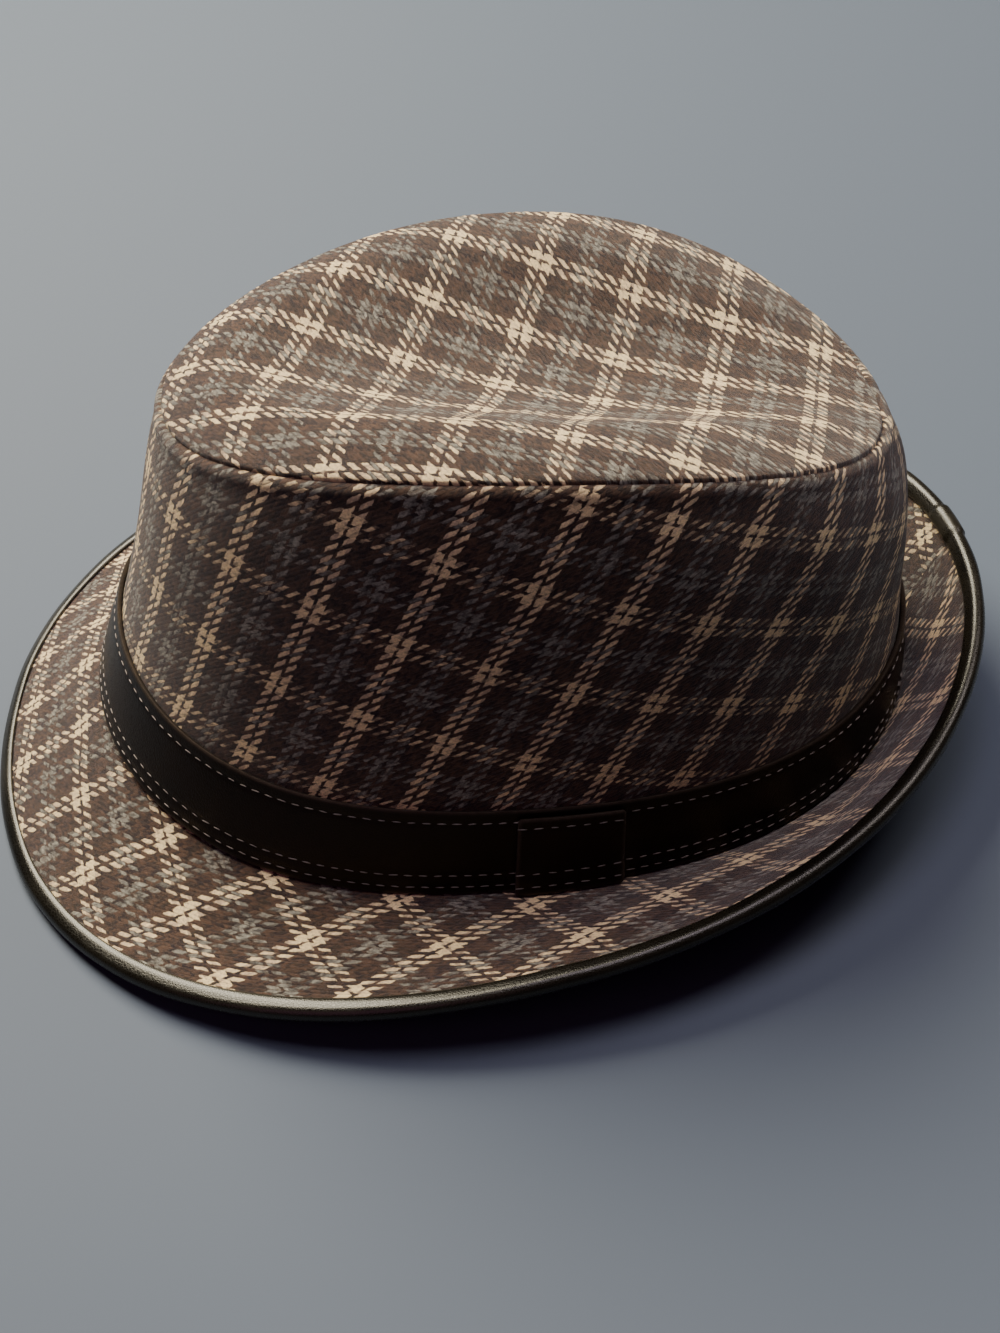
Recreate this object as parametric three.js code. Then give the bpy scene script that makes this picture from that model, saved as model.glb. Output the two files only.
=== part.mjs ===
// Cut-and-sewn cloth trilby, in millimetres, Z up, front of the hat towards -Y.
// The hat is laid out on the plane of its head opening and then tipped into the way it rests.

import * as THREE from "three";

// Angles run round the hat in degrees: 0 is the front, 90 the wearer's left, 180 the back.
const COLUMNS = 80;
const GAP = 0.3;

// Head opening at the outside of the crown: an oval, a little wider behind, that waves up and down.
const headOval = { halfWidth: 83.5, halfLength: 102.8, egg: -0.06, power: 2.14, shift: 0 };
const headWave = { mean: 0, once: 0, twice: 3.4, thrice: 0, fourth: 1.5 };

// Seam between the side and the tip of the crown.
const seamOval = { halfWidth: 65.7, halfLength: 85.5, egg: 0.111, power: 2.13, shift: 3.2 };
const seamWave = { mean: 87.75, once: 1.1, twice: -7.7, thrice: 0.6, fourth: 0.18 };

// Side of the crown: belly of the wall, and the rounded shoulder under the seam.
const belly = { mean: 0.2, once: -1.66 };
const shoulder = { mean: 2.48, once: -1.32, crest: 12.2 };

// Tip of the crown: rise of the rim over the seam, and the long dent from front to back between the rims.
const rim = { mean: 5.3, once: 2.92, twice: -1.2, width: 21.7 };
const dent = { depth: 9.7, halfWidth: 44, halfLength: 84.5, shift: 12, power: 1.44 };

// Brim: width from the head opening to the outer edge, and how far it is turned up, in degrees.
const brimWidth = { mean: 36.8, once: 2.1, twice: -1.7, thrice: 0, fourth: 0 };
const brimTurn = { mean: 13.9, once: -48.3, twice: -0.9, thrice: -2.5, fourth: -1.0 };

const crownCloth = 2.0;
const brimCloth = 1.8;
const bandLeather = 1.3;
const bandHeight = 22.2;
const tabLeather = 1.4;
const tab = { from: 86.5, to: 98.6, short: 1.2, flare: 1.0, steps: 4 };
const bindingLeather = 0.85;
const bindingWidth = 5.2;
const bindingJoint = { centre: 183, half: 3.2, step: 0.5 };

// The way the hat stands by itself: tipped forward about X, then set down and pressed flat a little.
const rest = { tilt: -4.65, press: 0.35 };

const UP = new THREE.Vector3(0, 0, 1);
const rad = THREE.MathUtils.degToRad;

function wave(w, t) {
  const a = rad(t);
  return (w.mean ?? 0) + (w.once ?? 0) * Math.cos(a) + (w.twice ?? 0) * Math.cos(2 * a)
    + (w.thrice ?? 0) * Math.cos(3 * a) + (w.fourth ?? 0) * Math.cos(4 * a);
}

function ovalPoint(o, t) {
  const c = Math.cos(rad(t));
  const s = Math.sin(rad(t));
  const x = o.halfWidth * Math.sign(s) * Math.abs(s) ** (2 / o.power) * (1 - o.egg * c);
  const y = o.shift - o.halfLength * Math.sign(c) * Math.abs(c) ** (2 / o.power);
  return new THREE.Vector3(x, y, 0);
}

function ovalNormal(o, t) {
  const d = ovalPoint(o, t + 2).sub(ovalPoint(o, t - 2));
  return new THREE.Vector3(d.y, -d.x, 0).normalize();
}

function headPoint(t) {
  return ovalPoint(headOval, t).setZ(wave(headWave, t));
}

function seamPoint(t) {
  return ovalPoint(seamOval, t).setZ(wave(seamWave, t));
}

// Outside of the crown wall: up is 0 at the head opening and 1 at the seam.
function sidePoint(t, up) {
  const bulge = wave(belly, t) * 4 * up * (1 - up) + wave(shoulder, t) * shoulder.crest * up ** 4 * (1 - up);
  const out = ovalNormal(headOval, t).lerp(ovalNormal(seamOval, t), up);
  return headPoint(t).lerp(seamPoint(t), up).addScaledVector(out, bulge);
}

// Upper face of the tip: reach is 0 at the middle of the tip and 1 at the seam.
function tipPoint(t, reach) {
  const a = rad(t);
  const edge = ovalPoint(seamOval, t);
  const middle = new THREE.Vector3(0, seamOval.shift, 0);
  const inside = (1 - reach) * edge.distanceTo(middle);
  const p = middle.lerp(edge, reach);
  let z = seamWave.mean + seamWave.once * Math.cos(a) * reach + seamWave.twice * Math.cos(2 * a) * reach ** 2
    + seamWave.thrice * Math.cos(3 * a) * reach ** 3 + seamWave.fourth * Math.cos(4 * a) * reach ** 4;
  const rise = rim.mean + rim.once * Math.cos(a) * reach + rim.twice * Math.cos(2 * a) * reach ** 2;
  z += rise * (1 - (1 - Math.min(1, inside / rim.width)) ** 2);
  const away = (p.x / dent.halfWidth) ** 2 + ((p.y - dent.shift) / dent.halfLength) ** 2;
  z -= dent.depth * Math.max(0, 1 - away) ** dent.power;
  return p.setZ(z);
}

function faceNormal(surface, t, v) {
  const low = Math.max(v - 0.01, 0.001);
  const high = Math.min(v + 0.01, 1);
  const around = surface(t + 1, v).sub(surface(t - 1, v));
  const across = surface(t, high).sub(surface(t, low));
  const n = around.cross(across).normalize();
  return n;
}

function sideNormal(t, up) {
  return faceNormal(sidePoint, t, up);
}

function tipNormal(t, reach) {
  const n = faceNormal(tipPoint, t, Math.max(reach, 0.05));
  return n.z < 0 ? n.negate() : n;
}

function seamNormal(t) {
  return sideNormal(t, 1).add(tipNormal(t, 1)).normalize();
}

// Lines across the brim: out is the way from the head opening to the edge, lift stands on its upper face.
function brimFrame(t) {
  const turn = rad(wave(brimTurn, t));
  const flat = ovalNormal(headOval, t);
  const out = flat.clone().multiplyScalar(Math.cos(turn)).addScaledVector(UP, Math.sin(turn));
  const lift = flat.clone().multiplyScalar(-Math.sin(turn)).addScaledVector(UP, Math.cos(turn));
  return { turn, flat, out, lift, width: wave(brimWidth, t) };
}

function finish(positions, index, name, material) {
  let volume = 0;
  const p = (i) => new THREE.Vector3(positions[3 * i], positions[3 * i + 1], positions[3 * i + 2]);
  for (let i = 0; i < index.length; i += 3) {
    volume += p(index[i]).dot(p(index[i + 1]).cross(p(index[i + 2])));
  }
  if (volume < 0) {
    for (let i = 0; i < index.length; i += 3) {
      [index[i], index[i + 1]] = [index[i + 1], index[i]];
    }
  }
  const geometry = new THREE.BufferGeometry();
  geometry.setAttribute("position", new THREE.Float32BufferAttribute(positions, 3));
  geometry.setIndex(index);
  const mesh = new THREE.Mesh(geometry, material);
  mesh.name = name;
  return mesh;
}

// One closed section carried round a list of angles. A whole ring joins up; a strip gets flat ends.
function sweep(name, section, angles, ring, material) {
  const loops = angles.map(section);
  const n = loops[0].length;
  const positions = [];
  loops.forEach((loop) => loop.forEach((q) => positions.push(q.x, q.y, q.z)));
  const index = [];
  const spans = ring ? loops.length : loops.length - 1;
  for (let i = 0; i < spans; i += 1) {
    const a = i * n;
    const b = ((i + 1) % loops.length) * n;
    for (let j = 0; j < n; j += 1) {
      const k = (j + 1) % n;
      index.push(a + j, b + j, b + k, a + j, b + k, a + k);
    }
  }
  if (!ring) {
    const last = (loops.length - 1) * n;
    for (let j = 1; j < n - 1; j += 1) {
      index.push(0, j, j + 1);
      index.push(last, last + j + 1, last + j);
    }
  }
  return finish(positions, index, name, material);
}

// A disc with two faces: rings of points from the upper middle over the edge to the lower middle.
function disc(name, rings, top, bottom, angles, material) {
  const n = angles.length;
  const positions = [top.x, top.y, top.z];
  rings.forEach((ring) => angles.forEach((t) => {
    const q = ring(t);
    positions.push(q.x, q.y, q.z);
  }));
  positions.push(bottom.x, bottom.y, bottom.z);
  const lastPole = positions.length / 3 - 1;
  const index = [];
  for (let j = 0; j < n; j += 1) {
    const k = (j + 1) % n;
    index.push(0, 1 + j, 1 + k);
    for (let r = 0; r < rings.length - 1; r += 1) {
      const a = 1 + r * n;
      const b = a + n;
      index.push(a + j, b + j, b + k, a + j, b + k, a + k);
    }
    const a = 1 + (rings.length - 1) * n;
    index.push(a + j, lastPole, a + k);
  }
  return finish(positions, index, name, material);
}

function paint(name, colour, roughness) {
  const material = new THREE.MeshStandardMaterial({ color: colour, roughness, metalness: 0 });
  material.name = name;
  return material;
}

const cloth = paint("checked_wool", 0x6f6257, 0.92);
const leather = paint("brown_leather", 0x1c1310, 0.42);

const everyAngle = Array.from({ length: COLUMNS }, (_, i) => (i * 360) / COLUMNS);

// Side of the crown: outer wall up to the seam, inner wall back down.
function sideSection(t) {
  const climb = [0, 0.22, 0.45, 0.65, 0.8, 0.91];
  const clear = GAP / sidePoint(t, 0).distanceTo(sidePoint(t, 1));
  const outer = climb.map((u) => [Math.max(u, clear), crownCloth]);
  const points = outer.map(([u]) => sidePoint(t, u));
  const seam = seamPoint(t);
  const along = seam.clone().sub(sidePoint(t, 0.97)).normalize();
  const edge = seam.clone().addScaledVector(along, -GAP / 2);
  points.push(edge);
  points.push(edge.clone().addScaledVector(seamNormal(t), -crownCloth));
  [0.86, 0.7, 0.35, clear].forEach((u) => {
    const n = u === clear ? ovalNormal(headOval, t) : sideNormal(t, u);
    points.push(sidePoint(t, u).addScaledVector(n, -crownCloth));
  });
  return points;
}

// Tip of the crown: the dished top and its underside.
function makeTip() {
  const reaches = [0.2, 0.36, 0.5, 0.62, 0.73, 0.82, 0.9, 0.96];
  const upper = reaches.map((v) => (t) => tipPoint(t, v));
  const edge = (t) => {
    const seam = seamPoint(t);
    const along = tipPoint(t, 0.98).sub(seam).normalize();
    return seam.addScaledVector(along, GAP / 2);
  };
  const under = (v) => (t) => tipPoint(t, v).addScaledVector(tipNormal(t, v), -crownCloth);
  const inner = (t) => edge(t).addScaledVector(seamNormal(t), -crownCloth);
  const lower = [0.93, 0.84, 0.73, 0.6, 0.42, 0.22].map(under);
  const top = tipPoint(0, 0);
  const bottom = top.clone().addScaledVector(UP, -crownCloth);
  return disc("crown_tip", [...upper, edge, inner, ...lower], top, bottom, everyAngle, cloth);
}

// Brim cloth: a lip under the crown wall, then the flare, with a rounded edge inside the binding.
function brimSection(t) {
  const { turn, flat, out, lift, width } = brimFrame(t);
  const root = headPoint(t);
  const half = brimCloth / 2;
  const core = bindingLeather + GAP + half;
  const bend = flat.clone().multiplyScalar(-Math.sin(turn / 2)).addScaledVector(UP, Math.cos(turn / 2));
  const at = (d, h) => root.clone().addScaledVector(out, d).addScaledVector(lift, h);
  const points = [root.clone().addScaledVector(flat, -crownCloth)];
  points.push(root.clone());
  [0.3, 0.62].forEach((s) => points.push(at(s * width, 0)));
  [90, 40, 0, -40, -90].forEach((angle) => {
    const a = rad(angle);
    points.push(at(width - core + half * Math.cos(a), half * Math.sin(a) - half));
  });
  [0.62, 0.3].forEach((s) => points.push(at(s * width, -brimCloth)));
  points.push(root.clone().addScaledVector(bend, -brimCloth / Math.cos(turn / 2)));
  points.push(root.clone().addScaledVector(flat, -crownCloth).addScaledVector(UP, -brimCloth));
  return points;
}

// Leather folded over the edge of the brim, with its ends lapped at the back.
function bindingSection(t) {
  const { out, lift, width } = brimFrame(t);
  const root = headPoint(t);
  const half = brimCloth / 2;
  const inner = half + GAP;
  const lapped = Math.abs(t - bindingJoint.centre) <= bindingJoint.half;
  const outer = inner + bindingLeather + (lapped ? bindingJoint.step : 0);
  const centre = width - inner - bindingLeather;
  const at = (d, h) => root.clone().addScaledVector(out, d).addScaledVector(lift, h - half);
  const reach = width - bindingWidth;
  const points = [at(reach, inner), at(reach, outer)];
  const arc = (r) => (angle) => at(centre + r * Math.cos(rad(angle)), r * Math.sin(rad(angle)));
  points.push(...[90, 50, 15, -15, -50, -90].map(arc(outer)));
  points.push(at(reach, -outer), at(reach, -inner));
  points.push(...[-90, -40, 40, 90].map(arc(inner)));
  return points;
}

// How far up the wall a strip of leather starts, so that its foot clears the rising brim.
function footOver(t, reach) {
  const { turn } = brimFrame(t);
  return GAP + 0.1 + reach * Math.tan(Math.max(turn, 0));
}

function stripPoint(t, height, away) {
  const wall = sidePoint(t, 0).distanceTo(sidePoint(t, 1));
  const up = height / wall;
  return sidePoint(t, up).addScaledVector(ovalNormal(headOval, t), away);
}

function bandSection(t) {
  const near = GAP;
  const far = GAP + bandLeather;
  const foot = footOver(t, far);
  const middle = (foot + bandHeight) / 2;
  return [
    stripPoint(t, foot, near),
    stripPoint(t, foot, far),
    stripPoint(t, middle, far),
    stripPoint(t, bandHeight, far),
    stripPoint(t, bandHeight, near),
    stripPoint(t, middle, near),
  ];
}

// Lapped end of the band on the wearer's left, its foot lying out over the brim.
function tabSection(t) {
  const near = 2 * GAP + bandLeather;
  const far = near + tabLeather;
  const foot = footOver(t, far + tab.flare);
  const head = bandHeight - tab.short;
  return [
    stripPoint(t, foot, near + tab.flare),
    stripPoint(t, foot, far + tab.flare),
    stripPoint(t, foot + 5, far),
    stripPoint(t, head, far),
    stripPoint(t, head, near),
    stripPoint(t, foot + 5, near),
  ];
}

const joint = [bindingJoint.centre - bindingJoint.half, bindingJoint.centre + bindingJoint.half];
const bindingAngles = [...everyAngle, ...joint, joint[0] - 0.3, joint[1] + 0.3].sort((a, b) => a - b);
const tabAngles = Array.from({ length: tab.steps + 1 }, (_, i) => tab.from + ((tab.to - tab.from) * i) / tab.steps);

const group = new THREE.Group();
group.name = "trilby";
group.add(
  makeTip(),
  sweep("crown_side", sideSection, everyAngle, true, cloth),
  sweep("brim", brimSection, everyAngle, true, cloth),
  sweep("brim_binding", bindingSection, bindingAngles, true, leather),
  sweep("hat_band", bandSection, everyAngle, true, leather),
  sweep("band_tab", tabSection, tabAngles, false, leather),
);

// Tip the hat, stand it on the floor and press flat what would reach below it.
group.children.forEach((mesh) => mesh.geometry.rotateX(rad(rest.tilt)));
const box = new THREE.Box3().setFromObject(group);
const middle = box.getCenter(new THREE.Vector3());
group.children.forEach((mesh) => {
  mesh.geometry.translate(-middle.x, -middle.y, -box.min.z - rest.press);
  const p = mesh.geometry.attributes.position;
  for (let i = 0; i < p.count; i += 1) {
    p.setZ(i, Math.max(p.getZ(i), 0));
  }
  mesh.geometry.computeVertexNormals();
});

export default group;
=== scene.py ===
"""Looks of a checked wool trilby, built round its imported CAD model."""

from __future__ import annotations

import logging
import math
from dataclasses import dataclass, field, fields
from enum import Enum
from typing import Any, Callable, Iterable, Sequence

import bpy
import numpy as np
from mathutils import Matrix, Vector

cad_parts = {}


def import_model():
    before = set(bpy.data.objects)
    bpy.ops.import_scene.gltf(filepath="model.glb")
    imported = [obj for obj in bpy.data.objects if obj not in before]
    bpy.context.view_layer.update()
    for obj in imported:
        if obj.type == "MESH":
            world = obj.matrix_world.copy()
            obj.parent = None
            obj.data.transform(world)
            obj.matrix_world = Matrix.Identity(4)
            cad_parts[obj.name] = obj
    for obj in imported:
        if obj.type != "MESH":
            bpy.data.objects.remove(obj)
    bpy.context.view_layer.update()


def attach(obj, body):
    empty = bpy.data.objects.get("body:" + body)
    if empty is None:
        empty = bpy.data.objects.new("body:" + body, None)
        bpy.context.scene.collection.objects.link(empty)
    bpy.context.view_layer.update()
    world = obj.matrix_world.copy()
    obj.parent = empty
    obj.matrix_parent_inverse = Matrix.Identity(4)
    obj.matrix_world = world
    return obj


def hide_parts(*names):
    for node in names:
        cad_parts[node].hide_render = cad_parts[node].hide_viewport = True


logger = logging.getLogger("trilby")

MM = 0.001
COLUMNS = 360
NEAR_SEAM = (3.0, 2.3, 1.75, 1.35, 1.0, 0.75, 0.5, 0.3, 0.12)
SEAM_STEPS = 3.6
STITCH_LOW = 2.0
STITCH_HIGH = 5.0

Array = np.ndarray


class Slot(Enum):
    """Material slots of the record."""

    WOOL = "checked_wool"
    LEATHER = "brown_leather"


@dataclass(frozen=True)
class Wave:
    """A size that swells and shrinks round the hat, as cosines of the angle."""

    mean: float = 0.0
    once: float = 0.0
    twice: float = 0.0
    thrice: float = 0.0
    fourth: float = 0.0

    def at(self, t: Array) -> Array:
        """Size at each angle.

        Args:
            t: Angles in degrees, 0 at the front and 90 on the wearer's left.

        Returns:
            One value for each angle.
        """
        a = np.radians(t)
        return (
            self.mean
            + self.once * np.cos(a)
            + self.twice * np.cos(2 * a)
            + self.thrice * np.cos(3 * a)
            + self.fourth * np.cos(4 * a)
        )


@dataclass(frozen=True)
class Oval:
    """A slightly squared oval, one end wider than the other."""

    half_width: float
    half_length: float
    egg: float
    power: float
    shift: float

    def at(self, t: Array) -> Array:
        """Points of the oval.

        Args:
            t: Angles in degrees.

        Returns:
            Points with z at 0, one for each angle.
        """
        c = np.cos(np.radians(t))
        s = np.sin(np.radians(t))
        x = self.half_width * np.sign(s) * np.abs(s) ** (2 / self.power) * (1 - self.egg * c)
        y = self.shift - self.half_length * np.sign(c) * np.abs(c) ** (2 / self.power)
        return np.stack([x, y, np.zeros_like(x)], -1)

    def outward(self, t: Array) -> Array:
        """Level outward directions.

        Args:
            t: Angles in degrees.

        Returns:
            Unit vectors, one for each angle.
        """
        d = self.at(t + 2) - self.at(t - 2)
        return unit(np.stack([d[..., 1], -d[..., 0], np.zeros_like(d[..., 0])], -1))


def unit(v: Array) -> Array:
    """Vectors brought to length 1."""
    return v / np.maximum(np.linalg.norm(v, axis=-1, keepdims=True), 1e-12)


def blend(low: Array, high: Array, share: Array) -> Array:
    """Point or vector part of the way from low to high."""
    return low + (high - low) * share[..., None]


def eased(x: Array) -> Array:
    """Smooth step of a value that is held between 0 and 1."""
    q = np.clip(x, 0.0, 1.0)
    return q * q * (3 - 2 * q)


@dataclass(frozen=True)
class BrimLines:
    """Lines across the brim at some angles: root, way out, way up, turn and width."""

    root: Array
    flat: Array
    out: Array
    lift: Array
    turn: Array
    width: Array

    def at(self, reach: Array, height: Array) -> Array:
        """Point at a distance along the brim and a height over its upper face, in mm."""
        return self.root + self.out * reach[..., None] + self.lift * height[..., None]


@dataclass(frozen=True)
class HatForm:
    """The shared shape of the hat, in mm on the plane of its head opening."""

    head: Oval = Oval(83.5, 102.8, -0.06, 2.14, 0.0)
    head_wave: Wave = Wave(twice=3.4, fourth=1.5)
    seam: Oval = Oval(65.7, 85.5, 0.111, 2.13, 3.2)
    seam_wave: Wave = Wave(87.75, 1.1, -7.7, 0.6, 0.18)
    belly: Wave = Wave(0.2, -1.66)
    shoulder: Wave = Wave(2.48, -1.32)
    shoulder_crest: float = 12.2
    rim: Wave = Wave(5.3, 2.92, -1.2)
    rim_width: float = 21.7
    dent_depth: float = 9.7
    dent_width: float = 44.0
    dent_length: float = 84.5
    dent_shift: float = 12.0
    dent_power: float = 1.44
    brim_width: Wave = Wave(36.8, 2.1, -1.7)
    brim_turn: Wave = Wave(13.9, -48.3, -0.9, -2.5, -1.0)
    crown_cloth: float = 2.0
    brim_cloth: float = 1.8
    gap: float = 0.3
    tilt: float = -4.65
    set_back: float = 5.070
    set_down: float = 9.055

    def head_point(self, t: Array) -> Array:
        """Points of the head opening, on the outside of the crown.

        Args:
            t: Angles in degrees.

        Returns:
            Points in mm.
        """
        p = self.head.at(t)
        p[..., 2] = self.head_wave.at(t)
        return p

    def seam_point(self, t: Array) -> Array:
        """Points of the seam between side and tip.

        Args:
            t: Angles in degrees.

        Returns:
            Points in mm.
        """
        p = self.seam.at(t)
        p[..., 2] = self.seam_wave.at(t)
        return p

    def side_point(self, t: Array, up: Array) -> Array:
        """Outside of the crown wall.

        Args:
            t: Angles in degrees.
            up: Share of the way up, 0 at the head opening and 1 at the seam.

        Returns:
            Points in mm.
        """
        t, up = np.broadcast_arrays(t, up)
        bulge = self.belly.at(t) * 4 * up * (1 - up)
        bulge = bulge + self.shoulder.at(t) * self.shoulder_crest * up**4 * (1 - up)
        out = blend(self.head.outward(t), self.seam.outward(t), up)
        return blend(self.head_point(t), self.seam_point(t), up) + out * bulge[..., None]

    def tip_point(self, t: Array, reach: Array) -> Array:
        """Upper face of the tip.

        Args:
            t: Angles in degrees.
            reach: Share of the way out, 0 at the middle and 1 at the seam.

        Returns:
            Points in mm.
        """
        t, reach = np.broadcast_arrays(t, reach)
        a = np.radians(t)
        edge = self.seam.at(t)
        middle = np.zeros_like(edge)
        middle[..., 1] = self.seam.shift
        inside = (1 - reach) * np.linalg.norm(edge - middle, axis=-1)
        p = blend(middle, edge, reach)
        w = self.seam_wave
        z = w.mean + w.once * np.cos(a) * reach + w.twice * np.cos(2 * a) * reach**2
        z = z + w.thrice * np.cos(3 * a) * reach**3 + w.fourth * np.cos(4 * a) * reach**4
        rise = self.rim.mean + self.rim.once * np.cos(a) * reach + self.rim.twice * np.cos(2 * a) * reach**2
        z = z + rise * (1 - (1 - np.minimum(1, inside / self.rim_width)) ** 2)
        away = (p[..., 0] / self.dent_width) ** 2 + ((p[..., 1] - self.dent_shift) / self.dent_length) ** 2
        p[..., 2] = z - self.dent_depth * np.maximum(0, 1 - away) ** self.dent_power
        return p

    def face_normal(self, surface: Callable[[Array, Array], Array], t: Array, v: Array) -> Array:
        """Outward unit normals of one of the two crown surfaces.

        Args:
            surface: side_point or tip_point.
            t: Angles in degrees.
            v: Second coordinate of the surface.

        Returns:
            Unit vectors.
        """
        t, v = np.broadcast_arrays(t, v)
        low = np.maximum(v - 0.01, 0.001)
        high = np.minimum(v + 0.01, 1.0)
        around = surface(t + 1, v) - surface(t - 1, v)
        across = surface(t, high) - surface(t, low)
        return unit(np.cross(around, across))

    def side_normal(self, t: Array, up: Array) -> Array:
        """Outward normals of the crown wall."""
        return self.face_normal(self.side_point, t, up)

    def tip_normal(self, t: Array, reach: Array) -> Array:
        """Upward normals of the tip."""
        n = self.face_normal(self.tip_point, t, np.maximum(reach, 0.05))
        return np.where(n[..., 2:] < 0, -n, n)

    def seam_normal(self, t: Array) -> Array:
        """Directions half way between the wall's and the tip's normals at the seam."""
        one = np.ones_like(t)
        return unit(self.side_normal(t, one) + self.tip_normal(t, one))

    def brim_lines(self, t: Array) -> BrimLines:
        """Lines across the brim at some angles.

        Args:
            t: Angles in degrees.

        Returns:
            The lines, with sizes in mm and angles in radians.
        """
        turn = np.radians(self.brim_turn.at(t))
        flat = self.head.outward(t)
        up = np.zeros_like(flat)
        up[..., 2] = 1.0
        out = flat * np.cos(turn)[..., None] + up * np.sin(turn)[..., None]
        lift = up * np.cos(turn)[..., None] - flat * np.sin(turn)[..., None]
        return BrimLines(self.head_point(t), flat, out, lift, turn, self.brim_width.at(t))

    def strip_point(self, t: Array, height: Array, away: Array) -> Array:
        """Point beside the crown wall.

        Args:
            t: Angles in degrees.
            height: Height up the wall from the head opening, in mm.
            away: Distance from the wall, in mm.

        Returns:
            Points in mm.
        """
        t, height, away = np.broadcast_arrays(t, height, away)
        wall = np.linalg.norm(self.seam_point(t) - self.head_point(t), axis=-1)
        return self.side_point(t, height / wall) + self.head.outward(t) * away[..., None]

    def stitch_line(self, t: Array, up: Array, away: float) -> tuple[Array, Array]:
        """One row of stitches on a strap.

        Args:
            t: Angles in degrees.
            up: Height up the wall at each angle, in mm.
            away: Distance of the strap's face from the wall, in mm.

        Returns:
            Points in metres and outward directions.
        """
        path = self.settle(self.strip_point(t, up, np.full_like(t, away + 0.05)))
        ahead = self.settle(self.strip_point(t, up, np.full_like(t, away + 2.05)))
        return path, unit(ahead - path)

    def foot_over(self, t: Array, reach: Array) -> Array:
        """Height at which a strip on the wall clears the rising brim, in mm."""
        turn = np.radians(self.brim_turn.at(t))
        return self.gap + 0.1 + reach * np.tan(np.maximum(turn, 0))

    def settle(self, p: Array) -> Array:
        """Tips points into the way the hat rests and presses them flat on the floor.

        Args:
            p: Points in mm on the plane of the head opening.

        Returns:
            Points in metres as the hat stands.
        """
        a = math.radians(self.tilt)
        y = p[..., 1] * math.cos(a) - p[..., 2] * math.sin(a) + self.set_back
        z = p[..., 1] * math.sin(a) + p[..., 2] * math.cos(a) + self.set_down
        return np.stack([p[..., 0], y, np.maximum(z, 0.0)], -1) * MM


@dataclass(frozen=True)
class CheckLay:
    """How the check lies on one flat panel of cloth.

    The six numbers of each direction are its place, slopes and bends, in checks for each 50 mm.
    """

    centre: tuple[float, float]
    across: tuple[float, float, float, float, float, float]
    along: tuple[float, float, float, float, float, float]
    limit: float = 2.0
    mirrored: bool = False
    crossed: bool = False

    def place(self, flat: Array) -> Array:
        """Check coordinates of flat points.

        Args:
            flat: Complex numbers, the place of each point on the flat panel in mm.

        Returns:
            Pairs in checks, whole numbers on the middle of a cream stripe.
        """
        x = (flat.real - self.centre[0]) / 50
        y = (flat.imag - self.centre[1]) / 50
        bx = self.limit * np.tanh(x / self.limit)
        by = self.limit * np.tanh(y / self.limit)
        terms = [np.ones_like(x), x, y, bx * bx, bx * by, by * by]
        u = sum(k * term for k, term in zip(self.across, terms))
        v = sum(k * term for k, term in zip(self.along, terms))
        if self.crossed:
            return np.stack([v, -u], -1)
        return np.stack([u, -v if self.mirrored else v], -1)


def unroll(lower: Array, upper: Array, keep: int) -> tuple[Array, Array]:
    """Lays the strip between two curves flat.

    Args:
        lower: Points of the lower curve in mm.
        upper: Points of the upper curve, as many.
        keep: Index of the point that is laid at the origin with its cross line upright.

    Returns:
        Flat places of the lower curve and the headings of the cross lines.
    """

    def length(a: Array, b: Array) -> Array:
        """Distances between points."""
        return np.linalg.norm(a - b, axis=-1)

    def corner(a: Array, b: Array, c: Array) -> Array:
        """Angle between the sides a and b of a triangle whose third side is c."""
        return np.arccos(np.clip((a * a + b * b - c * c) / (2 * a * b), -1, 1))

    edge = length(lower[:-1], lower[1:])
    rib = length(lower, upper)
    crest = length(upper[:-1], upper[1:])
    slant = length(lower[1:], upper[:-1])
    first = corner(edge, rib[:-1], slant)
    second = corner(edge, slant, rib[:-1])
    third = corner(slant, rib[1:], crest)
    heading = np.zeros(len(edge))
    heading[1:] = np.cumsum(np.pi - second[:-1] - third[:-1] - first[1:])
    cross = np.empty(len(lower))
    cross[:-1] = heading + first
    cross[-1] = heading[-1] + np.pi - second[-1] - third[-1]
    place = np.concatenate([[0], np.cumsum(edge * np.exp(1j * heading))])
    turn = np.pi / 2 - cross[keep]
    return (place - place[keep]) * np.exp(1j * turn), cross + turn


def strip_check(t: Array, around: int) -> Array:
    """Plain coordinates of a leather strap, which has no check.

    Args:
        t: Angles in degrees.
        around: How many points its section has.

    Returns:
        Pairs (angles, section + 1, 2).
    """
    check = np.zeros((len(t), around + 1, 2))
    check[..., 0] = (t / 10)[:, None]
    check[..., 1] = np.linspace(0, 1, around + 1)[None, :]
    return check


def ring_angles() -> Array:
    """Angles round the hat from the back seam to the back seam, both ends given."""
    return np.linspace(-180.0, 180.0, COLUMNS + 1)


def arc_lengths(grid: Array) -> Array:
    """Distances along the second axis of a grid of points."""
    steps = np.linalg.norm(np.diff(grid, axis=1), axis=-1)
    return np.concatenate([np.zeros((grid.shape[0], 1)), np.cumsum(steps, axis=1)], axis=1)


def soft_swell(t: Array, v: Array, seed: int, waves: int = 9) -> Array:
    """Gentle unevenness of hand-sewn cloth, about -1 to 1.

    Args:
        t: Angles in degrees.
        v: Second coordinate, 0 to 1.
        seed: Seed of the waves.
        waves: How many waves are added up.

    Returns:
        One value for each point.
    """
    rng = np.random.default_rng(seed)
    total = np.zeros(np.broadcast(t, v).shape)
    for _ in range(waves):
        turns = rng.integers(3, 17)
        rise = rng.uniform(2.0, 12.0)
        phase = rng.uniform(0, 2 * np.pi)
        total = total + np.sin(np.radians(t) * turns + rise * v + phase)
    return total / math.sqrt(waves)


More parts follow.
